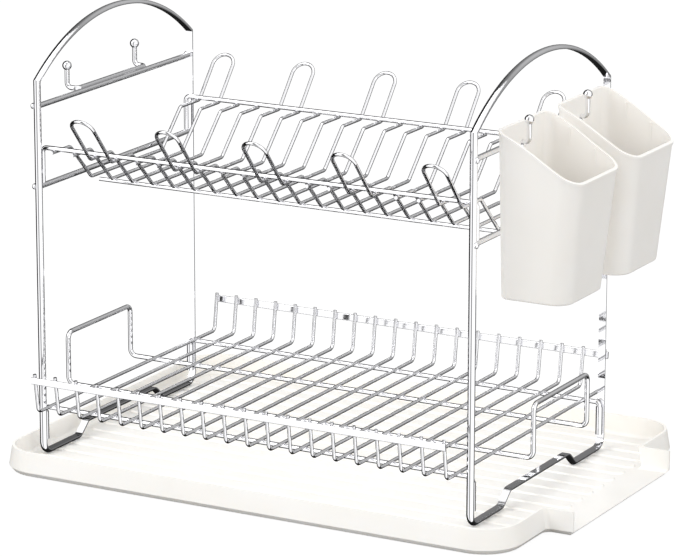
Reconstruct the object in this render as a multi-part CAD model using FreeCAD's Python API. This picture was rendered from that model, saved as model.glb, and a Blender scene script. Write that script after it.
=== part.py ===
"""Two-tier dish drying rack on a drip tray, with two hanging utensil cups.

Millimetres, +Z up.  The origin is on the surface the tray stands on, midway between
the two side frames and midway between their front and rear posts.  +X runs along the
rack towards the cups and the tray's spout, and -Y is the front.
"""
import FreeCAD, Part
import math
import os

V = FreeCAD.Vector

# ---- overall sizes -----------------------------------------------------------------
FRAME_SPACING = 400.0       # between the planes of the two side frames
POST_SPACING = 244.8        # front post to rear post, middle of the bar
KINK_HEIGHT = 318.2         # foot pad to the kink where post meets arch, middle of the bar
ARCH_RISE = 43.2            # kink to the top of the arch
LOWER_CROSSBAR_HEIGHT = 230.8   # above the underside of the foot
UPPER_CROSSBAR_HEIGHT = 298.5

# ---- side frame: half-round bar, flat side in --------------------------------------
BAR_WIDTH = 6.4
BAR_THICKNESS = 3.6
BAR_ROUND = 2.7             # depth of the round side; the rest of the thickness is straight
FOOT_CORNER_RADIUS = 9.8
FOOT_RAISE = 11.0
FOOT_RAISED_HALF = 54.0
FOOT_STEP_RUN = 13.0
FOOT_STEP_RADIUS = 7.0

# ---- crossbars and screws ----------------------------------------------------------
CROSSBAR_DIAMETER = 4.6
SPIGOT_DIAMETER = 2.6       # end of a crossbar, in the post's flat face
SPIGOT_LENGTH = 2.4
SPIGOT_FIT = 0.04           # radial, and at its end
SCREW_DIAMETER = 2.5
SCREW_LENGTH = 1.3          # below its head, as far as the spigot
SCREW_CLEARANCE = 0.1       # radial, in the post
SCREW_SET_BACK = 1.4        # axis to the post's flat face
HEAD_DIAMETER = 5.0
HEAD_HEIGHT = 2.6
HEAD_ROUND = 1.6
SOCKET_WIDTH = 2.0
SOCKET_DEPTH = 1.2
SEAT_DEPTH = 0.5            # spot face in the outer side of the post
SEAT_CLEARANCE = 0.2        # radial, round the head

# ---- hooks -------------------------------------------------------------------------
HOOK_WIRE = 4.2
HOOK_HALF_SPACING = 53.5
HOOK_RAIL_OUT = 4.0         # rail centre outward of the crossbar centre
HOOK_REACH = 10.3           # rail centre to prong centre
HOOK_PRONG_RISE = 18.5      # rail centre to ball centre
HOOK_BEND = 4.0
BALL_DIAMETER = 8.0
BALL_BORE_DEPTH = 3.6       # from the ball's centre down is bored, and this less a radius above
BALL_FIT = 0.04

# ---- leg sleeves -------------------------------------------------------------------
SLEEVE_WALL = 0.82
SLEEVE_LENGTH = 24.0
SLEEVE_GAP = 0.3            # mouth of the sleeve to the start of the leg's bend
LEG_WIRE = 4.0
LEG_FIT = 0.08              # radial
LEG_BEND = 3.6
LEG_DEPTH = 21.5            # leg inside its sleeve

# ---- lower basket ------------------------------------------------------------------
RUNG_WIRE = 3.0
RUNG_PITCH = 20.0
RUNG_BEND = 5.0
LOWER_RUNNER_HEIGHT = 41.3  # leg wires and handle wire, above the underside of the foot
LOWER_OVERHANG = 21.1       # wall of the basket outside the middle of the posts
LOWER_WALL_RISE = 33.5
LOWER_WALL_LEAN = 4.8
BAND_HEIGHT = 6.0
BAND_THICKNESS = 1.8
BAND_EDGE = 0.7             # radius along its long edges
BAND_DROP = 2.0             # top of the band below the wire tips
BAND_OVERHANG = 1.0         # band past the side of the outermost wire
HANDLE_WIRE = 4.2
HANDLE_HALF_WIDTH = 50.0
HANDLE_REACH = 20.0         # outward of the frame plane
HANDLE_RISE = 45.0
HANDLE_BEND = 6.0

# ---- upper basket ------------------------------------------------------------------
UPPER_RAIL_HEIGHT = 262.8
UPPER_RAIL_INSET = 6.1      # rail centre inward of the post's flat face
RAIL_BEND = 4.0
PIN_DIAMETER = 2.6
PIN_LENGTH = 3.4
PIN_FIT = 0.08
SEAT_GAP = 0.3              # resting faces of separate bodies
UPPER_SHELF = 26.0          # rail centre to the top of the slope
UPPER_SLOPE_RUN = 32.0
UPPER_TROUGH_DROP = 31.8
RUNNER_WIRE = 3.4
RUNNER_INSET = 6.5          # runner centre inside the foot of the slope
RUNNER_OVERHANG = 4.0       # runner short of the outermost rung
FRONT_TAIL = 2.5            # plain rung end in front of the front rail
REAR_TAIL = 4.5             # plain rung end behind the rear rail
LOOP_FOOT = 6.0             # foot of a loop past the rail centre
LOOP_LEAN = 50.0            # degrees from level
FRONT_LOOP_LENGTH = 50.5
REAR_LOOP_LENGTH = 46.5

# ---- drip tray ---------------------------------------------------------------------
TRAY_LEFT_MARGIN = 18.5     # base line outside the plane of the left frame
TRAY_RIGHT_MARGIN = 54.5
TRAY_DEPTH_MARGIN = 49.4    # outside the middle of the posts
TRAY_HEIGHT = 20.6
TRAY_DRAFT = 3.5
TRAY_CORNER = 35.0
TRAY_WALL = 2.2
TRAY_FLOOR = 1.9
TRAY_BASE_CHAMFER = 4.0
TRAY_INNER_ROUND = 3.2      # inside, floor to wall
RIB_HEIGHT = 1.4
RIB_WIDTH = 11.0
RIB_PITCH = 20.5
RIB_END_RADIUS = 5.0
RIB_FIELD_MARGIN = 7.0      # ribs end at least this far inside the front and rear walls
RIB_INSET = 9.0             # rib ends inward of the tray's outer base line
RIB_SLOPE = 1.4
SPOUT_REACH = 22.0
SPOUT_HALF_WIDTH = 93.0
SPOUT_THROAT_RADIUS = 4.0   # where its side meets the tray's wall

# ---- utensil cups ------------------------------------------------------------------
CUP_BACK_GAP = 0.8          # back wall outward of the hook rail
CUP_WALL = 1.8
CUP_FLOOR = 2.2
CUP_TOP_ABOVE_HOOK = 19.5   # highest point of the rim curve above the hook rail
CUP_HEIGHT = 138.5
CUP_FRONT_DROP = 45.0
CUP_CURVE_LEAD = 13.9       # rim curve starts this far behind the back wall
CUP_CURVE_RUN = 106.2
CUP_DEPTH_BOTTOM = 59.2
CUP_DEPTH_TOP = 73.0
CUP_HALF_BOTTOM = 37.8
CUP_HALF_TOP = 45.4
CUP_CORNER = 15.5
CUP_BACK_CORNER = 9.0
CUP_BEAD = 0.7
CUP_BEAD_HEIGHT = 2.6
KEYHOLE_DROP = 6.0          # middle of the round hole below the hook wire
SLOT_CLEARANCE = 0.8        # radial, slot round the hook wire
KEYHOLE_CLEARANCE = 0.8     # radial, keyhole round the ball
CUP_RIB_FIRST = 21.0        # first stacking rib in front of the back wall
CUP_RIB_PITCH = 23.0
CUP_RIB_WIDTH = 1.6
CUP_RIB_PROUD = 1.2
CUP_RIB_LENGTH = 16.0
CUP_BOTTOM_ROUND = 2.0
DRAIN_DIAMETER = 5.0
DRAIN_PITCH = 16.0

# ---- what follows from them --------------------------------------------------------
FOOT_Z = TRAY_FLOOR + RIB_HEIGHT + SEAT_GAP
FRAME_X = FRAME_SPACING / 2
POST_Y = POST_SPACING / 2
FLAT_Y = POST_Y - BAR_THICKNESS / 2
SCREW_Y = FLAT_Y + SCREW_SET_BACK
SEAT_X = BAR_WIDTH / 2 - SEAT_DEPTH         # outward of the frame plane
SLEEVE_DIAMETER = LEG_WIRE + 2 * (LEG_FIT + SLEEVE_WALL)
SLEEVE_Y = FLAT_Y - SLEEVE_DIAMETER / 2
RAIL_Y = FLAT_Y - UPPER_RAIL_INSET
LOWER_HALF_DEPTH = POST_Y + LOWER_OVERHANG
LOWER_BAR_Z = FOOT_Z + LOWER_CROSSBAR_HEIGHT
UPPER_BAR_Z = FOOT_Z + UPPER_CROSSBAR_HEIGHT
LEG_Z = FOOT_Z + LOWER_RUNNER_HEIGHT
LOWER_RUNG_Z = LEG_Z + LEG_WIRE / 2 + RUNG_WIRE / 2
HANDLE_Z = LOWER_RUNG_Z - RUNG_WIRE / 2 - HANDLE_WIRE / 2
UPPER_RAIL_Z = FOOT_Z + UPPER_RAIL_HEIGHT
SHELF_Z = UPPER_RAIL_Z - LEG_WIRE / 2 - RUNG_WIRE / 2
TROUGH_Z = SHELF_Z - UPPER_TROUGH_DROP
SLOPE_TOP_Y = RAIL_Y - UPPER_SHELF
SLOPE_FOOT_Y = SLOPE_TOP_Y - UPPER_SLOPE_RUN
RUNG_GROUP = 4              # rungs joined by one front loop and one rear loop
LOOPS_PER_SIDE = math.floor(FRAME_SPACING / (RUNG_GROUP * RUNG_PITCH))
RUNG_COUNT = RUNG_GROUP * LOOPS_PER_SIDE
RUNG_X = [(i - (RUNG_COUNT - 1) / 2) * RUNG_PITCH for i in range(RUNG_COUNT)]
TOUCH = (CROSSBAR_DIAMETER + HOOK_WIRE) / 2
HOOK_RAIL_X = FRAME_X + HOOK_RAIL_OUT
HOOK_RAIL_Z = UPPER_BAR_Z + math.sqrt(TOUCH ** 2 - HOOK_RAIL_OUT ** 2)
HOOK_X = HOOK_RAIL_X + HOOK_REACH
BALL_Z = HOOK_RAIL_Z + HOOK_PRONG_RISE
CUP_BACK_X = HOOK_RAIL_X + HOOK_WIRE / 2 + CUP_BACK_GAP
CUP_TOP_Z = HOOK_RAIL_Z + CUP_TOP_ABOVE_HOOK
CUP_BOTTOM_Z = CUP_TOP_Z - CUP_HEIGHT
TRAY_LEFT = FRAME_X + TRAY_LEFT_MARGIN
TRAY_RIGHT = FRAME_X + TRAY_RIGHT_MARGIN
TRAY_HALF_DEPTH = POST_Y + TRAY_DEPTH_MARGIN
RIB_COUNT = math.floor(2 * (TRAY_HALF_DEPTH - RIB_FIELD_MARGIN) / RIB_PITCH)


# ---- helpers -----------------------------------------------------------------------
def rounded_path(corners, radii):
    """Straight runs joined by tangent arcs, one radius per inner corner."""
    edges = []
    start = corners[0]
    for before, corner, after, radius in zip(corners, corners[1:], corners[2:], radii):
        into = (corner - before).normalize()
        out = (after - corner).normalize()
        turn = into.getAngle(out)
        reach = radius * math.tan(turn / 2)
        first = corner - into * reach
        last = corner + out * reach
        inward = (out - into).normalize()
        middle = corner + inward * (radius / math.cos(turn / 2) - radius)
        if (first - start).Length > 1e-6:
            edges.append(Part.LineSegment(start, first).toShape())
        edges.append(Part.Arc(first, middle, last).toShape())
        start = last
    if (corners[-1] - start).Length > 1e-6:
        edges.append(Part.LineSegment(start, corners[-1]).toShape())
    return edges


def bent_wire(corners, radii, diameter):
    """A round wire bent along rounded corners."""
    path = Part.Wire(rounded_path(corners, radii))
    direction = (corners[1] - corners[0]).normalize()
    circle = Part.Circle(corners[0], direction, diameter / 2)
    return path.makePipeShell([Part.Wire([circle.toShape()])], True, False)


def rod(start, end, diameter):
    """A straight round rod between two points."""
    run = end - start
    return Part.makeCylinder(diameter / 2, run.Length, start, run)


def outline(points):
    """A closed wire through straight corners."""
    return Part.makePolygon(points + [points[0]])


def rounded_rectangle(x_low, x_high, half_depth, low_radius, high_radius, z):
    """A closed level wire with round corners, one radius for each end in X."""
    y = half_depth
    corners = [V(x_low, 0, z), V(x_low, -y, z), V(x_high, -y, z), V(x_high, y, z),
               V(x_low, y, z), V(x_low, 0, z)]
    return Part.Wire(rounded_path(corners, [low_radius, high_radius, high_radius, low_radius]))


def tapered_block(bottom, top):
    """A solid between two level outlines."""
    return Part.makeLoft([bottom, top], True, True)


def opposite(shape, normal):
    """The shape reflected in a plane through the origin."""
    return shape.mirror(V(0, 0, 0), normal)


def save(name, shape):
    """Writes one sub-part."""
    shape.exportStep("parts/" + name + ".step")


# ---- side frames -------------------------------------------------------------------
def bar_section(z):
    """Half-round bar section at the middle of the foot, flat side up."""
    half = BAR_WIDTH / 2
    flat = z + BAR_THICKNESS / 2
    low = z - BAR_THICKNESS / 2
    turn = low + BAR_ROUND
    edges = [Part.LineSegment(V(-half, 0, flat), V(half, 0, flat)).toShape(),
             Part.LineSegment(V(half, 0, flat), V(half, 0, turn)).toShape(),
             Part.Arc(V(half, 0, turn), V(0, 0, low), V(-half, 0, turn)).toShape(),
             Part.LineSegment(V(-half, 0, turn), V(-half, 0, flat)).toShape()]
    return Part.Wire(edges)


def side_frame(side):
    """A closed loop of half-round bar: foot, two posts and the arch, drilled for screws."""
    pad_z = FOOT_Z + BAR_THICKNESS / 2
    raised_z = pad_z + FOOT_RAISE
    kink_z = pad_z + KINK_HEIGHT
    top_z = kink_z + ARCH_RISE
    step_y = FOOT_RAISED_HALF + FOOT_STEP_RUN
    corners = [V(0, 0, raised_z), V(0, FOOT_RAISED_HALF, raised_z), V(0, step_y, pad_z),
               V(0, POST_Y, pad_z), V(0, POST_Y, kink_z)]
    edges = rounded_path(corners, [FOOT_STEP_RADIUS, FOOT_STEP_RADIUS, FOOT_CORNER_RADIUS])
    arch_radius = (POST_Y ** 2 + ARCH_RISE ** 2) / (2 * ARCH_RISE)
    half_angle = math.asin(POST_Y / arch_radius) / 2
    shoulder = V(0, arch_radius * math.sin(half_angle),
                 top_z - arch_radius * (1 - math.cos(half_angle)))
    edges.append(Part.Arc(V(0, POST_Y, kink_z), shoulder, V(0, 0, top_z)).toShape())
    pipe = Part.BRepOffsetAPI.MakePipeShell(Part.Wire(edges))
    pipe.setTransitionMode(1)
    pipe.add(bar_section(raised_z))
    pipe.build()
    pipe.makeSolid()
    rear = pipe.shape()
    frame = rear.fuse(opposite(rear, V(0, 1, 0))).removeSplitter()
    socket = SPIGOT_DIAMETER + 2 * SPIGOT_FIT
    bottom = FLAT_Y + SPIGOT_LENGTH + SPIGOT_FIT
    hole = SCREW_DIAMETER + 2 * SCREW_CLEARANCE
    seat = HEAD_DIAMETER + 2 * SEAT_CLEARANCE
    cuts = []
    for z in (LOWER_BAR_Z, UPPER_BAR_Z):
        for end in (-1, 1):
            cuts.append(rod(V(0, end * (FLAT_Y - 1), z), V(0, end * bottom, z), socket))
            y = end * SCREW_Y
            cuts.append(rod(V(0, y, z), V(side * (SEAT_X + 1), y, z), hole))
            cuts.append(rod(V(side * SEAT_X, y, z), V(side * (SEAT_X + 5), y, z), seat))
    frame = frame.cut(cuts)
    frame.translate(V(side * FRAME_X, 0, 0))
    return frame


# ---- crossbars and screws ----------------------------------------------------------
def crossbar(side, z, pin_holes):
    """A rod between the posts with a thinner spigot at each end."""
    x = side * FRAME_X
    bar = rod(V(x, -FLAT_Y, z), V(x, FLAT_Y, z), CROSSBAR_DIAMETER)
    tip = FLAT_Y + SPIGOT_LENGTH
    bar = bar.fuse(rod(V(x, -tip, z), V(x, tip, z), SPIGOT_DIAMETER))
    if pin_holes:
        hole = PIN_DIAMETER + 2 * PIN_FIT
        reach = V(0, 0, CROSSBAR_DIAMETER)
        for end in (-1, 1):
            middle = V(x, end * RAIL_Y, z)
            bar = bar.cut(rod(middle - reach, middle + reach, hole))
    return bar.removeSplitter()


def screw(side, end, z):
    """A round-headed socket screw in the outer side of a post, down to the crossbar's spigot."""
    seat = side * (FRAME_X + SEAT_X)
    y = end * SCREW_Y
    top = seat + side * HEAD_HEIGHT
    head = rod(V(seat, y, z), V(top, y, z), HEAD_DIAMETER)
    rim = [e for e in head.Edges if e.Closed and abs(e.CenterOfMass.x - top) < 0.01]
    head = head.makeFillet(HEAD_ROUND, rim[:1])
    shank = rod(V(seat - side * SCREW_LENGTH, y, z), V(seat + side * 0.5, y, z), SCREW_DIAMETER)
    radius = SOCKET_WIDTH / math.sqrt(3)
    points = []
    for i in range(6):
        angle = math.radians(60 * i)
        points.append(V(top, y + radius * math.cos(angle), z + radius * math.sin(angle)))
    socket = Part.Face(outline(points)).extrude(V(-side * SOCKET_DEPTH, 0, 0))
    return head.fuse(shank).removeSplitter().cut(socket)


def crossbar_screws():
    """Two screws for each crossbar."""
    screws = []
    for side in (-1, 1):
        for z in (LOWER_BAR_Z, UPPER_BAR_Z):
            for end in (-1, 1):
                screws.append(screw(side, end, z))
    return Part.makeCompound(screws)


# ---- hooks -------------------------------------------------------------------------
def hook_rail(side):
    """A rail on the upper crossbar whose ends turn outward and then up."""
    x = side * HOOK_RAIL_X
    tip = side * HOOK_X
    y = HOOK_HALF_SPACING
    top = BALL_Z + BALL_BORE_DEPTH - BALL_DIAMETER / 2
    corners = [V(tip, -y, top), V(tip, -y, HOOK_RAIL_Z), V(x, -y, HOOK_RAIL_Z),
               V(x, y, HOOK_RAIL_Z), V(tip, y, HOOK_RAIL_Z), V(tip, y, top)]
    return bent_wire(corners, [HOOK_BEND] * 4, HOOK_WIRE)


def hook_balls():
    """A bored ball on the end of every prong."""
    balls = []
    top = BALL_Z + BALL_BORE_DEPTH - BALL_DIAMETER / 2
    for side in (-1, 1):
        for end in (-1, 1):
            centre = V(side * HOOK_X, end * HOOK_HALF_SPACING, BALL_Z)
            ball = Part.makeSphere(BALL_DIAMETER / 2, centre)
            bore = rod(centre - V(0, 0, BALL_DIAMETER), V(centre.x, centre.y, top),
                       HOOK_WIRE + 2 * BALL_FIT)
            balls.append(ball.cut(bore))
    return Part.makeCompound(balls)


# ---- leg sleeves -------------------------------------------------------------------
def leg_sleeves():
    """Open tubes on the flat inner faces of the posts."""
    mouth = LEG_Z - LEG_BEND - SLEEVE_GAP
    sleeves = []
    for side in (-1, 1):
        for end in (-1, 1):
            top = V(side * FRAME_X, end * SLEEVE_Y, mouth)
            foot = top - V(0, 0, SLEEVE_LENGTH)
            tube = rod(foot, top, SLEEVE_DIAMETER)
            sleeves.append(tube.cut(rod(foot, top, LEG_WIRE + 2 * LEG_FIT)))
    return Part.makeCompound(sleeves)


# ---- lower basket ------------------------------------------------------------------
def lower_wire(x):
    """One U-shaped wire across the lower basket."""
    y = LOWER_HALF_DEPTH
    top_y = y + LOWER_WALL_LEAN
    top_z = LOWER_RUNG_Z + LOWER_WALL_RISE
    corners = [V(x, -top_y, top_z), V(x, -y, LOWER_RUNG_Z), V(x, y, LOWER_RUNG_Z), V(x, top_y, top_z)]
    return bent_wire(corners, [RUNG_BEND] * 2, RUNG_WIRE)


def lower_band(end):
    """A flat band against the outer sides of the wire ends, leaning with them."""
    length = math.hypot(LOWER_WALL_LEAN, LOWER_WALL_RISE)
    up = V(0, end * LOWER_WALL_LEAN / length, LOWER_WALL_RISE / length)
    out = V(0, end * LOWER_WALL_RISE / length, -LOWER_WALL_LEAN / length)
    tip = V(0, end * (LOWER_HALF_DEPTH + LOWER_WALL_LEAN), LOWER_RUNG_Z + LOWER_WALL_RISE)
    top = tip - up * BAND_DROP + out * (RUNG_WIRE / 2)
    low = top - up * BAND_HEIGHT
    half = V(RUNG_X[-1] + RUNG_WIRE / 2 + BAND_OVERHANG, 0, 0)
    face = Part.Face(outline([low - half, low + half, top + half, top - half]))
    band = face.extrude(out * BAND_THICKNESS)
    return band.makeFillet(BAND_EDGE, [e for e in band.Edges if e.Length > half.x])


def lower_leg_wire(end):
    """A wire under the basket whose ends turn down into the sleeves."""
    y = end * SLEEVE_Y
    foot = LEG_Z - LEG_BEND - SLEEVE_GAP - LEG_DEPTH
    corners = [V(-FRAME_X, y, foot), V(-FRAME_X, y, LEG_Z), V(FRAME_X, y, LEG_Z), V(FRAME_X, y, foot)]
    return bent_wire(corners, [LEG_BEND] * 2, LEG_WIRE)


def lower_handle_wire():
    """One closed wire: two runs under the basket and a grab loop outside each frame."""
    x = FRAME_X + HANDLE_REACH
    y = HANDLE_HALF_WIDTH
    top = HANDLE_Z + HANDLE_RISE
    corners = [V(x, 0, top), V(x, -y, top), V(x, -y, HANDLE_Z), V(-x, -y, HANDLE_Z),
               V(-x, -y, top), V(-x, 0, top)]
    front = bent_wire(corners, [HANDLE_BEND] * 4, HANDLE_WIRE)
    return front.fuse(opposite(front, V(0, 1, 0))).removeSplitter()


# ---- upper basket ------------------------------------------------------------------
def upper_rail(end):
    """A rail whose ends turn down into stepped pins that stand in the lower crossbars."""
    y = end * RAIL_Y
    shoulder = LOWER_BAR_Z + CROSSBAR_DIAMETER / 2 + SEAT_GAP
    corners = [V(-FRAME_X, y, shoulder), V(-FRAME_X, y, UPPER_RAIL_Z), V(FRAME_X, y, UPPER_RAIL_Z),
               V(FRAME_X, y, shoulder)]
    rail = bent_wire(corners, [RAIL_BEND] * 2, LEG_WIRE)
    for side in (-1, 1):
        x = side * FRAME_X
        pin = rod(V(x, y, shoulder - PIN_LENGTH), V(x, y, shoulder + 1), PIN_DIAMETER)
        rail = rail.fuse(pin)
    return rail.removeSplitter()


def rung_points(x, end):
    """Corner points of one rung from its plain end to the foot of its loop."""
    tail = REAR_TAIL if end < 0 else FRONT_TAIL
    return [V(x, -end * (RAIL_Y + tail), SHELF_Z), V(x, -end * SLOPE_TOP_Y, SHELF_Z),
            V(x, -end * SLOPE_FOOT_Y, TROUGH_Z), V(x, end * SLOPE_FOOT_Y, TROUGH_Z),
            V(x, end * SLOPE_TOP_Y, SHELF_Z), V(x, end * (RAIL_Y + LOOP_FOOT), SHELF_Z)]


def loop_wire(x, end):
    """Two rungs of the upper basket and the plate loop that joins them."""
    length = FRONT_LOOP_LENGTH if end < 0 else REAR_LOOP_LENGTH
    lean = math.radians(LOOP_LEAN)
    top_y = end * (RAIL_Y + LOOP_FOOT + length * math.cos(lean))
    top_z = SHELF_Z + length * math.sin(lean)
    half = RUNG_PITCH / 2
    first = rung_points(x - half, end)
    last = rung_points(x + half, end)
    corners = first + [V(x - half, top_y, top_z), V(x + half, top_y, top_z)] + last[::-1]
    radii = [RUNG_BEND] * 5 + [half] * 2 + [RUNG_BEND] * 5
    return bent_wire(corners, radii, RUNG_WIRE)


def upper_bottom_runner():
    """A straight wire under the trough of the upper basket."""
    y = -(SLOPE_FOOT_Y - RUNNER_INSET)
    z = TROUGH_Z - RUNG_WIRE / 2 - RUNNER_WIRE / 2
    reach = RUNG_X[-1] - RUNNER_OVERHANG
    return rod(V(-reach, y, z), V(reach, y, z), RUNNER_WIRE)


# ---- drip tray ---------------------------------------------------------------------
def tray_outline(inset, z):
    """The tray's outline at height z, inset evenly."""
    radius = TRAY_CORNER - inset
    return rounded_rectangle(-TRAY_LEFT + inset, TRAY_RIGHT - inset, TRAY_HALF_DEPTH - inset,
                             radius, radius, z)


def tray_shell():
    """The tray with drafted walls and an open spout, before its ribs."""
    body = tapered_block(tray_outline(0, 0), tray_outline(TRAY_DRAFT, TRAY_HEIGHT))
    x_start = TRAY_RIGHT - 2 * TRAY_CORNER
    length = 2 * TRAY_CORNER + SPOUT_REACH
    y = SPOUT_HALF_WIDTH
    spout = Part.makeBox(length, 2 * y, TRAY_HEIGHT, V(x_start, -y, 0))
    body = body.fuse(spout).removeSplitter()
    throat = [e for e in body.Edges if is_throat(e)]
    body = body.makeFillet(SPOUT_THROAT_RADIUS, throat)
    base = [e for e in body.Edges if e.BoundBox.ZMax < 0.01]
    body = body.makeChamfer(TRAY_BASE_CHAMFER, base)
    inset = TRAY_DRAFT * TRAY_FLOOR / TRAY_HEIGHT + TRAY_WALL
    hollow = tapered_block(tray_outline(inset, TRAY_FLOOR),
                           tray_outline(inset + TRAY_DRAFT, TRAY_FLOOR + TRAY_HEIGHT))
    hollow = hollow.makeFillet(TRAY_INNER_ROUND, floor_edges(hollow))
    inner = SPOUT_HALF_WIDTH - TRAY_WALL
    channel = Part.makeBox(2 * length, 2 * inner, TRAY_HEIGHT, V(x_start, -inner, TRAY_FLOOR))
    sides = [e for e in floor_edges(channel) if e.BoundBox.YLength < 0.01]
    channel = channel.makeFillet(TRAY_INNER_ROUND, sides)
    return body.cut([hollow, channel])


def floor_edges(solid):
    """The edges of a solid that lie at the height of the tray's floor."""
    return [e for e in solid.Edges if e.BoundBox.ZMax < TRAY_FLOOR + 0.01]


def is_throat(edge):
    """True for the upright inner corners where the spout meets the tray's right wall."""
    box = edge.BoundBox
    at_side = abs(abs(box.Center.y) - SPOUT_HALF_WIDTH) < 0.01
    at_wall = abs(box.Center.x - TRAY_RIGHT) < TRAY_DRAFT
    return at_side and at_wall and box.ZLength > TRAY_HEIGHT / 2


def tray_rib(y):
    """One low rib along the floor with round ends, short of the tray's walls and round corners."""
    half = RIB_WIDTH / 2
    into_corner = abs(y) + half + RIB_SLOPE - (TRAY_HALF_DEPTH - TRAY_CORNER)
    pull = 0.0
    if into_corner > 0:
        pull = TRAY_CORNER - math.sqrt(TRAY_CORNER ** 2 - into_corner ** 2)
    x_low = -TRAY_LEFT + RIB_INSET + pull
    x_high = TRAY_RIGHT - RIB_INSET - pull
    foot = rounded_rectangle(x_low, x_high, half + RIB_SLOPE, RIB_END_RADIUS + RIB_SLOPE,
                             RIB_END_RADIUS + RIB_SLOPE, TRAY_FLOOR - TRAY_FLOOR / 2)
    crown = rounded_rectangle(x_low + RIB_SLOPE, x_high - RIB_SLOPE, half, RIB_END_RADIUS,
                              RIB_END_RADIUS, TRAY_FLOOR + RIB_HEIGHT)
    rib = tapered_block(foot, crown)
    rib.translate(V(0, y, 0))
    return rib


def drip_tray():
    """A shallow tray with an open spout and ribs that hold the feet clear of the water."""
    ribs = [tray_rib((i - (RIB_COUNT - 1) / 2) * RIB_PITCH) for i in range(RIB_COUNT)]
    return tray_shell().fuse(ribs).removeSplitter()


# ---- utensil cups ------------------------------------------------------------------
def cup_section(y, inset, height):
    """The cup's outline at a height above its base."""
    part = height / CUP_HEIGHT
    depth = CUP_DEPTH_BOTTOM + (CUP_DEPTH_TOP - CUP_DEPTH_BOTTOM) * part
    half = CUP_HALF_BOTTOM + (CUP_HALF_TOP - CUP_HALF_BOTTOM) * part
    wire = rounded_rectangle(CUP_BACK_X + inset, CUP_BACK_X + depth - inset, half - inset,
                             CUP_BACK_CORNER - inset, CUP_CORNER - inset, CUP_BOTTOM_Z + height)
    wire.translate(V(0, y, 0))
    return wire


def rim_height(x):
    """Height of the rim curve, falling smoothly from the back of the cup to its front."""
    t = (x - CUP_BACK_X + CUP_CURVE_LEAD) / CUP_CURVE_RUN
    t = min(1.0, max(0.0, t))
    return CUP_TOP_Z - CUP_FRONT_DROP * (3 * t ** 2 - 2 * t ** 3)


def below_rim(y, drop, depth):
    """A slab under the rim curve, starting a given drop below it."""
    x_low = CUP_BACK_X - 4
    x_high = CUP_BACK_X + CUP_DEPTH_TOP + 4
    count = 12
    points = []
    for i in range(count + 1):
        x = x_low + (x_high - x_low) * i / count
        points.append(V(x, y - 60, rim_height(x) - drop))
    curve = Part.BSplineCurve()
    curve.interpolate(points)
    low = V(0, 0, depth)
    a = points[0]
    b = points[-1]
    edges = [curve.toShape(), Part.LineSegment(b, b - low).toShape(),
             Part.LineSegment(b - low, a - low).toShape(), Part.LineSegment(a - low, a).toShape()]
    return Part.Face(Part.Wire(edges)).extrude(V(0, 120, 0))


def rim_band(y):
    """The thin layer of space just under the rim curve."""
    whole = below_rim(y, 0, 200)
    return whole.cut(below_rim(y, CUP_BEAD_HEIGHT, 210))


def keyhole(y):
    """The hole in the back wall that passes the ball, and the slot above it that hangs on the wire."""
    slot_radius = HOOK_WIRE / 2 + SLOT_CLEARANCE
    hole_radius = BALL_DIAMETER / 2 + KEYHOLE_CLEARANCE
    top_z = HOOK_RAIL_Z + HOOK_WIRE / 2 + SEAT_GAP - slot_radius
    low_z = HOOK_RAIL_Z - KEYHOLE_DROP
    start = CUP_BACK_X - CUP_WALL / 2
    run = V(2 * CUP_WALL, 0, 0)
    top = Part.makeCylinder(slot_radius, run.x, V(start, y, top_z), run)
    slot = Part.makeBox(run.x, 2 * slot_radius, top_z - low_z, V(start, y - slot_radius, low_z))
    hole = Part.makeCylinder(hole_radius, run.x, V(start, y, low_z), run)
    return top.fuse([slot, hole])


def stacking_ribs(y):
    """Two short upright ribs inside each side wall, below the rim."""
    ribs = []
    for x in (CUP_BACK_X + CUP_RIB_FIRST, CUP_BACK_X + CUP_RIB_FIRST + CUP_RIB_PITCH):
        top = rim_height(x) - CUP_BEAD_HEIGHT
        half = CUP_HALF_BOTTOM + (CUP_HALF_TOP - CUP_HALF_BOTTOM) * (top - CUP_BOTTOM_Z) / CUP_HEIGHT
        half_low = half - (CUP_HALF_TOP - CUP_HALF_BOTTOM) * CUP_RIB_LENGTH / CUP_HEIGHT
        inner = CUP_WALL / 2
        proud = CUP_WALL + CUP_RIB_PROUD
        for end in (-1, 1):
            points = [V(x, y + end * (half - inner), top), V(x, y + end * (half - proud), top),
                      V(x, y + end * (half_low - CUP_WALL), top - CUP_RIB_LENGTH),
                      V(x, y + end * (half_low - inner), top - CUP_RIB_LENGTH)]
            ribs.append(Part.Face(outline(points)).extrude(V(CUP_RIB_WIDTH, 0, 0)))
    return ribs


def utensil_cup(y):
    """A tapered cup with a dipping rim, drained at the bottom."""
    top = CUP_HEIGHT
    outer = tapered_block(cup_section(y, 0, 0), cup_section(y, 0, top))
    base = [e for e in outer.Edges if e.BoundBox.ZMax < CUP_BOTTOM_Z + 0.01]
    outer = outer.makeFillet(CUP_BOTTOM_ROUND, base)
    bead = tapered_block(cup_section(y, -CUP_BEAD, top / 2), cup_section(y, -CUP_BEAD, top))
    bead = bead.common(rim_band(y))
    hollow = tapered_block(cup_section(y, CUP_WALL, CUP_FLOOR), cup_section(y, CUP_WALL, top))
    body = outer.common(below_rim(y, 0, 200)).fuse(bead)
    cuts = [hollow, keyhole(y)]
    middle_x = CUP_BACK_X + CUP_DEPTH_BOTTOM / 2
    for i in (-1, 0, 1):
        for j in (-1, 0, 1):
            foot = V(middle_x + i * DRAIN_PITCH, y + j * DRAIN_PITCH, CUP_BOTTOM_Z - 1)
            cuts.append(Part.makeCylinder(DRAIN_DIAMETER / 2, CUP_FLOOR + 2, foot))
    return body.cut(cuts).fuse(stacking_ribs(y)).removeSplitter()


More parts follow.
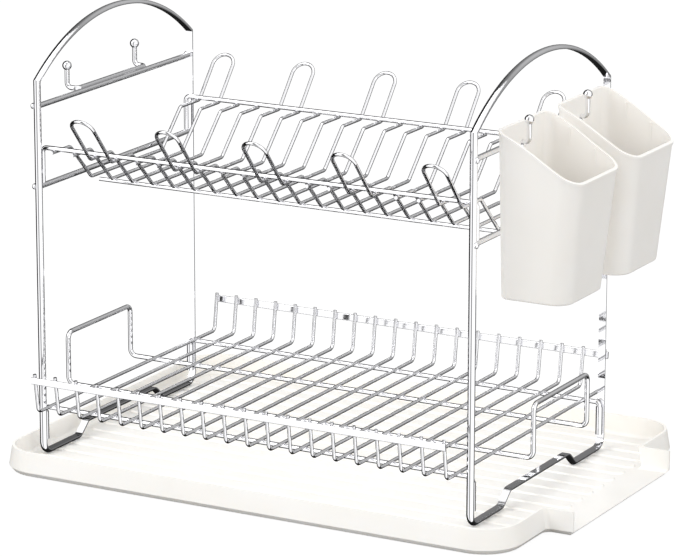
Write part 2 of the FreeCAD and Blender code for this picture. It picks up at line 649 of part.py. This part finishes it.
# ---- build -------------------------------------------------------------------------
def build():
    """Every sub-part by name."""
    parts = {"drip_tray": drip_tray()}
    for name, side in (("left", -1), ("right", 1)):
        parts[name + "_side_frame"] = side_frame(side)
        parts[name + "_lower_crossbar"] = crossbar(side, LOWER_BAR_Z, True)
        parts[name + "_upper_crossbar"] = crossbar(side, UPPER_BAR_Z, False)
        parts[name + "_hook_rail"] = hook_rail(side)
    parts["crossbar_screws"] = crossbar_screws()
    parts["hook_balls"] = hook_balls()
    parts["leg_sleeves"] = leg_sleeves()
    for i, x in enumerate(RUNG_X):
        parts["lower_wire_%02d" % (i + 1)] = lower_wire(x)
    parts["lower_handle_wire"] = lower_handle_wire()
    for name, end in (("front", -1), ("rear", 1)):
        parts["lower_" + name + "_band"] = lower_band(end)
        parts["lower_" + name + "_leg_wire"] = lower_leg_wire(end)
        parts["upper_" + name + "_rail"] = upper_rail(end)
        parts["utensil_cup_" + name] = utensil_cup(end * HOOK_HALF_SPACING)
    for i in range(LOOPS_PER_SIDE):
        rear_x = (RUNG_X[RUNG_GROUP * i] + RUNG_X[RUNG_GROUP * i + 1]) / 2
        front_x = (RUNG_X[RUNG_GROUP * i + 2] + RUNG_X[RUNG_GROUP * i + 3]) / 2
        parts["upper_rear_loop_wire_%d" % (i + 1)] = loop_wire(rear_x, 1)
        parts["upper_front_loop_wire_%d" % (i + 1)] = loop_wire(front_x, -1)
    parts["upper_bottom_runner"] = upper_bottom_runner()
    return parts


os.makedirs("parts", exist_ok=True)
for part_name, part_shape in build().items():
    save(part_name, part_shape)
    box = part_shape.BoundBox
    print("%-26s valid %s solids %d  %.1f..%.1f  %.1f..%.1f  %.1f..%.1f" % (
        part_name, part_shape.isValid(), len(part_shape.Solids), box.XMin, box.XMax,
        box.YMin, box.YMax, box.ZMin, box.ZMax))
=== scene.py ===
"""Looks for a two-tier dish drying rack: chromed wire, moulded tray and cups, and a white studio."""
import math

import bpy
from mathutils import Matrix, Vector

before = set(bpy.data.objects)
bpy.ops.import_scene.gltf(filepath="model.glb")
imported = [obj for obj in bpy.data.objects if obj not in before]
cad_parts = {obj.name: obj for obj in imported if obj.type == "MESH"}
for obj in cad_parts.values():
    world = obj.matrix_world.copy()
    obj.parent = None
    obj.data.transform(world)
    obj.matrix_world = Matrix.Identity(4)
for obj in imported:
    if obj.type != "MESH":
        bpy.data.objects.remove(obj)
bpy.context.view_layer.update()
bpy.ops.object.select_all(action="DESELECT")

MM = 0.001

# ---- view --------------------------------------------------------------------------
CAMERA_PLACE = Vector((1519.2, -2741.8, 983.8)) * MM
CAMERA_YAW = 28.74      # degrees round from the front towards the cups
CAMERA_PITCH = 14.83    # degrees down
CAMERA_ROLL = 0.07
CAMERA_LENS = 207.0
CAMERA_SENSOR = 36.0

# ---- light -------------------------------------------------------------------------
TENT_STRENGTH = 1.2         # white of the tent, as the chrome mirrors it
FILL_STRENGTH = 1.02        # soft light on everything else
BACK_WAY = (-0.46, 0.84, -0.28)         # the side of the tent that is open to a dim room
BACK_EDGE = (-0.03, 0.06)
LAMP_WAY = (0.304, 0.848, 0.434)        # a soft lamp in that room
LAMP_SHADES = ((0.0, 0.01), (0.50, 0.02), (0.66, 0.10), (0.72, 0.17),
               (0.80, 0.17), (0.92, 0.34), (1.0, 0.46))
POLE_MIDDLE = -90.0         # degrees round: a dark upright pole in front
POLE_WIDTH = 30.0
POLE_EDGE = 0.08            # radians
SLIT_HEIGHTS = (0.36, 0.46)             # a dark slit between front wall and ceiling
SLIT_EDGE = 0.04
FRONT_EDGE = (0.1, 0.3)     # the slit fades out here, going round to the rear
JOINT_DEPTH = 0.75          # how much of the white the pole and the slit take away
FLOOR_SIZE = 12.0
FLOOR_DROP = 0.2 * MM       # below the tray
FLOOR_GLOW = 0.90
FLOOR_SEEN = 0.12           # grey of the floor as seen, under its glow
FLOOR_DIM = 0.4             # grey of the floor as it lights the rack
SOFTBOXES = (               # name, place, target, width, height in metres, and watts
    ("key", (-1.4, -2.2, 2.0), (0, 0, 0.15), 1.6, 1.6, 24),
    ("top", (0.0, 0.2, 2.6), (0, 0, 0), 1.6, 1.2, 6),
    ("side", (2.6, -1.0, 1.0), (0.1, 0, 0.15), 1.2, 1.6, 9))

# ---- finishes: sizes in millimetres ------------------------------------------------
CHROME_HAZE = 9.0           # across a hazy patch
CHROME_ROUGHNESS = (0.02, 0.05)
PLASTIC_IOR = 1.49
PLASTIC_MILK = 0.2          # how milky
PLASTIC_MILK_DEPTH = 2.0
PLASTIC_MILK_SPREAD = (1.0, 0.9, 0.8)
PLASTIC_CLOUD = 60.0        # across a flow cloud
PLASTIC_CLOUD_EDGE = (0.35, 0.65)
PLASTIC_SATIN = 14.0        # across a patch of smoother or rougher skin
PLASTIC_SATIN_SPREAD = 0.05
PLASTIC_GRAIN = 0.8         # drawn coarser than the real spark grain, which is too fine to show
PLASTIC_GRAIN_DEPTH = 0.05
PLASTIC_GRAIN_STRENGTH = 0.15


# ---- nodes -------------------------------------------------------------------------
def linear(code):
    """A colour given as sRGB hex, as linear values with alpha."""
    values = []
    for start in (1, 3, 5):
        part = int(code[start:start + 2], 16) / 255
        values.append(part / 12.92 if part <= 0.04045 else ((part + 0.055) / 1.055) ** 2.4)
    return (*values, 1.0)


def add_node(tree, kind, settings=None, **links):
    """Adds one node, sets its values and joins its inputs; a link is an output socket."""
    node = tree.nodes.new(kind)
    for name, value in (settings or {}).items():
        if name in node.inputs:
            node.inputs[name].default_value = value
        else:
            setattr(node, name, value)
    for name, source in links.items():
        key = int(name[1:]) if name[1:].isdigit() else name.replace("_", " ")
        tree.links.new(source, node.inputs[key])
    return node


def new_material(name):
    """An empty material and its Principled shader."""
    material = bpy.data.materials.new(name)
    material.use_nodes = True
    tree = material.node_tree
    shader = next(n for n in tree.nodes if n.type == "BSDF_PRINCIPLED")
    return material, tree, shader


def per_metre(size):
    """The scale of a noise whose features are about a size in millimetres."""
    return 1.0 / (size * MM)


# ---- materials ---------------------------------------------------------------------
def bright_chrome():
    """Bright nickel-chrome plate on drawn steel wire: a near-mirror, a little hazy in patches."""
    material, tree, shader = new_material("bright_chrome_plate")
    shader.inputs["Base Color"].default_value = linear("#f1f1f3")
    shader.inputs["Metallic"].default_value = 1.0
    place = add_node(tree, "ShaderNodeTexCoord")
    haze = add_node(tree, "ShaderNodeTexNoise", {"Scale": per_metre(CHROME_HAZE), "Detail": 3.0},
                    Vector=place.outputs["Object"])
    smooth, dull = CHROME_ROUGHNESS
    rough = add_node(tree, "ShaderNodeMapRange", {"To Min": smooth, "To Max": dull},
                     Value=haze.outputs["Fac"])
    tree.links.new(rough.outputs["Result"], shader.inputs["Roughness"])
    return material


def moulded_plastic(name, light_colour, deep_colour, skin):
    """Injection-moulded polypropylene: soft milky white and satin, with faint flow clouds and grain."""
    material, tree, shader = new_material(name)
    shader.inputs["IOR"].default_value = PLASTIC_IOR
    shader.inputs["Subsurface Weight"].default_value = PLASTIC_MILK
    shader.inputs["Subsurface Radius"].default_value = PLASTIC_MILK_SPREAD
    shader.inputs["Subsurface Scale"].default_value = PLASTIC_MILK_DEPTH * MM
    place = add_node(tree, "ShaderNodeTexCoord")
    cloud = add_node(tree, "ShaderNodeTexNoise", {"Scale": per_metre(PLASTIC_CLOUD), "Detail": 2.0},
                     Vector=place.outputs["Object"])
    tint = add_node(tree, "ShaderNodeValToRGB", None, Fac=cloud.outputs["Fac"])
    ramp = tint.color_ramp
    ramp.elements[0].position = PLASTIC_CLOUD_EDGE[0]
    ramp.elements[0].color = linear(deep_colour)
    ramp.elements[1].position = PLASTIC_CLOUD_EDGE[1]
    ramp.elements[1].color = linear(light_colour)
    tree.links.new(tint.outputs["Color"], shader.inputs["Base Color"])
    satin = add_node(tree, "ShaderNodeTexNoise", {"Scale": per_metre(PLASTIC_SATIN), "Detail": 3.0},
                     Vector=place.outputs["Object"])
    limits = {"To Min": skin - PLASTIC_SATIN_SPREAD, "To Max": skin + PLASTIC_SATIN_SPREAD}
    rough = add_node(tree, "ShaderNodeMapRange", limits, Value=satin.outputs["Fac"])
    tree.links.new(rough.outputs["Result"], shader.inputs["Roughness"])
    grain = add_node(tree, "ShaderNodeTexNoise", {"Scale": per_metre(PLASTIC_GRAIN), "Detail": 2.0},
                     Vector=place.outputs["Object"])
    relief = {"Strength": PLASTIC_GRAIN_STRENGTH, "Distance": PLASTIC_GRAIN_DEPTH * MM}
    bump = add_node(tree, "ShaderNodeBump", relief, Height=grain.outputs["Fac"])
    tree.links.new(bump.outputs["Normal"], shader.inputs["Normal"])
    return material


CHROME = bright_chrome()
TRAY_PLASTIC = moulded_plastic("tray_polypropylene", "#fbf9f5", "#f8f5f0", 0.36)
CUP_PLASTIC = moulded_plastic("cup_polypropylene", "#f8f5f1", "#f5f2ed", 0.42)

for node_name, node_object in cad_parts.items():
    finish = CHROME
    if node_name == "drip_tray":
        finish = TRAY_PLASTIC
    if node_name.startswith("utensil_cup"):
        finish = CUP_PLASTIC
    node_object.data.materials.clear()
    node_object.data.materials.append(finish)
    if finish is CHROME and "frame" not in node_name:
        # a liberty: with shadows, these closely spaced wires darken the tray
        node_object.visible_shadow = False
        node_object.visible_diffuse = False
    if finish is TRAY_PLASTIC:
        # a liberty: mirrored, the white tray turns the undersides of the wires white
        node_object.visible_glossy = False


# ---- studio ------------------------------------------------------------------------
def aim(place, target):
    """A matrix at a place, looking at a target, with its top upwards."""
    back = (place - target).normalized()
    return Matrix.Translation(place) @ back.to_track_quat("Z", "Y").to_matrix().to_4x4()


def softbox(name, place, target, width, height, power):
    """A rectangular area light."""
    data = bpy.data.lights.new(name, "AREA")
    data.shape = "RECTANGLE"
    data.size = width
    data.size_y = height
    data.energy = power
    light = bpy.data.objects.new(name, data)
    light.matrix_world = aim(Vector(place), Vector(target))
    bpy.context.scene.collection.objects.link(light)


def dark_joint(tree, value, low, high, soft):
    """One across a joint of the tent and zero beside it, with soft edges."""
    rising = {"From Min": low - soft, "From Max": low + soft, "interpolation_type": "SMOOTHSTEP"}
    rise = add_node(tree, "ShaderNodeMapRange", rising, Value=value)
    falling = {"From Min": high - soft, "From Max": high + soft, "To Min": 1.0, "To Max": 0.0,
               "interpolation_type": "SMOOTHSTEP"}
    fall = add_node(tree, "ShaderNodeMapRange", falling, Value=value)
    both = add_node(tree, "ShaderNodeMath", {"operation": "MULTIPLY"},
                    _0=rise.outputs["Result"], _1=fall.outputs["Result"])
    return both.outputs[0]


def studio_world():
    """What the chrome mirrors: a white tent with two dark joints, open behind the rack to a dim room.

    It isn't one real surround: mirror-like rays see the tent, diffuse rays see an even white
    and the camera sees a white backdrop.
    """
    world = bpy.data.worlds.new("studio")
    bpy.context.scene.world = world
    world.use_nodes = True
    tree = world.node_tree
    tree.nodes.clear()
    way = add_node(tree, "ShaderNodeTexCoord").outputs["Generated"]
    axes = add_node(tree, "ShaderNodeSeparateXYZ", Vector=way)
    backward = add_node(tree, "ShaderNodeVectorMath", {"operation": "DOT_PRODUCT"}, _0=way)
    backward.inputs[1].default_value = BACK_WAY
    opening = {"From Min": BACK_EDGE[0], "From Max": BACK_EDGE[1], "interpolation_type": "SMOOTHSTEP"}
    behind = add_node(tree, "ShaderNodeMapRange", opening, Value=backward.outputs["Value"])
    lampward = add_node(tree, "ShaderNodeVectorMath", {"operation": "DOT_PRODUCT"}, _0=way)
    lampward.inputs[1].default_value = LAMP_WAY
    room = add_node(tree, "ShaderNodeValToRGB", None, Fac=lampward.outputs["Value"])
    stops = room.color_ramp.elements
    for place, grey in LAMP_SHADES[1:-1]:
        stops.new(place).color = (grey, grey, grey, 1)
    for stop, (place, grey) in ((stops[0], LAMP_SHADES[0]), (stops[-1], LAMP_SHADES[-1])):
        stop.position = place
        stop.color = (grey, grey, grey, 1)
    shade = add_node(tree, "ShaderNodeMix", {"data_type": "FLOAT"},
                     _0=behind.outputs["Result"], _3=room.outputs["Color"])
    shade.inputs[2].default_value = 1.0
    shade = shade.outputs[0]
    round_way = add_node(tree, "ShaderNodeMath", {"operation": "ARCTAN2"},
                         _0=axes.outputs["Y"], _1=axes.outputs["X"]).outputs[0]
    middle = math.radians(POLE_MIDDLE)
    half = math.radians(POLE_WIDTH) / 2
    pole = dark_joint(tree, round_way, middle - half, middle + half, POLE_EDGE)
    fading = {"From Min": FRONT_EDGE[0], "From Max": FRONT_EDGE[1], "To Min": 1.0, "To Max": 0.0,
              "interpolation_type": "SMOOTHSTEP"}
    front = add_node(tree, "ShaderNodeMapRange", fading, Value=axes.outputs["Y"])
    all_round = dark_joint(tree, axes.outputs["Z"], *SLIT_HEIGHTS, SLIT_EDGE)
    slit = add_node(tree, "ShaderNodeMath", {"operation": "MULTIPLY"},
                    _0=all_round, _1=front.outputs["Result"]).outputs[0]
    darkening = {"To Min": 1.0, "To Max": 1.0 - JOINT_DEPTH, "interpolation_type": "SMOOTHSTEP"}
    for joint in (pole, slit):
        left = add_node(tree, "ShaderNodeMapRange", darkening, Value=joint)
        shade = add_node(tree, "ShaderNodeMath", {"operation": "MULTIPLY"},
                         _0=shade, _1=left.outputs["Result"]).outputs[0]
    tent = add_node(tree, "ShaderNodeBackground", {"Strength": TENT_STRENGTH}, Color=shade)
    fill = add_node(tree, "ShaderNodeBackground", {"Color": (1, 1, 1, 1), "Strength": FILL_STRENGTH})
    backdrop = add_node(tree, "ShaderNodeBackground", {"Color": (1, 1, 1, 1), "Strength": 1.0})
    sight = add_node(tree, "ShaderNodeLightPath")
    mirrored = add_node(tree, "ShaderNodeMixShader", None, _0=sight.outputs["Is Glossy Ray"],
                        _1=fill.outputs[0], _2=tent.outputs[0])
    both = add_node(tree, "ShaderNodeMixShader", None, _0=sight.outputs["Is Camera Ray"],
                    _1=mirrored.outputs[0], _2=backdrop.outputs[0])
    out = add_node(tree, "ShaderNodeOutputWorld")
    tree.links.new(both.outputs[0], out.inputs["Surface"])


def floor():
    """A white floor: bright to the eye, dimmer as it lights the rack, and not mirrored in the chrome."""
    bpy.ops.mesh.primitive_plane_add(size=FLOOR_SIZE, location=(0, 0, -FLOOR_DROP))
    sheet = bpy.context.object
    sheet.name = "floor"
    material, tree, shader = new_material("white_paper_floor")
    shader.inputs["Base Color"].default_value = (FLOOR_SEEN, FLOOR_SEEN, FLOOR_SEEN, 1)
    shader.inputs["Roughness"].default_value = 1.0
    shader.inputs["Specular IOR Level"].default_value = 0.0
    shader.inputs["Emission Color"].default_value = (1, 1, 1, 1)
    shader.inputs["Emission Strength"].default_value = FLOOR_GLOW
    dim = add_node(tree, "ShaderNodeBsdfDiffuse", {"Color": (FLOOR_DIM, FLOOR_DIM, FLOOR_DIM, 1)})
    clear = add_node(tree, "ShaderNodeBsdfTransparent")
    sight = add_node(tree, "ShaderNodeLightPath")
    seen = add_node(tree, "ShaderNodeMixShader", None, _0=sight.outputs["Is Camera Ray"],
                    _1=dim.outputs[0], _2=shader.outputs[0])
    both = add_node(tree, "ShaderNodeMixShader", None, _0=sight.outputs["Is Glossy Ray"],
                    _1=seen.outputs[0], _2=clear.outputs[0])
    out = next(n for n in tree.nodes if n.type == "OUTPUT_MATERIAL")
    tree.links.new(both.outputs[0], out.inputs["Surface"])
    sheet.data.materials.append(material)


def camera():
    """The camera, turned by yaw, pitch and roll."""
    yaw = math.radians(CAMERA_YAW)
    pitch = math.radians(CAMERA_PITCH)
    roll = math.radians(CAMERA_ROLL)
    back = Vector((math.sin(yaw) * math.cos(pitch), -math.cos(yaw) * math.cos(pitch), math.sin(pitch)))
    right = Vector((math.cos(yaw), math.sin(yaw), 0))
    up = back.cross(right)
    right, up = (math.cos(roll) * right + math.sin(roll) * up,
                 math.cos(roll) * up - math.sin(roll) * right)
    data = bpy.data.cameras.new("camera")
    data.lens = CAMERA_LENS
    data.sensor_width = CAMERA_SENSOR
    data.clip_end = 50.0
    eye = bpy.data.objects.new("camera", data)
    turn = Matrix((right, up, back)).transposed().to_4x4()
    eye.matrix_world = Matrix.Translation(CAMERA_PLACE) @ turn
    bpy.context.scene.collection.objects.link(eye)
    bpy.context.scene.camera = eye


camera()
studio_world()
floor()
for box_values in SOFTBOXES:
    softbox(*box_values)
bpy.context.scene.view_settings.view_transform = "Standard"
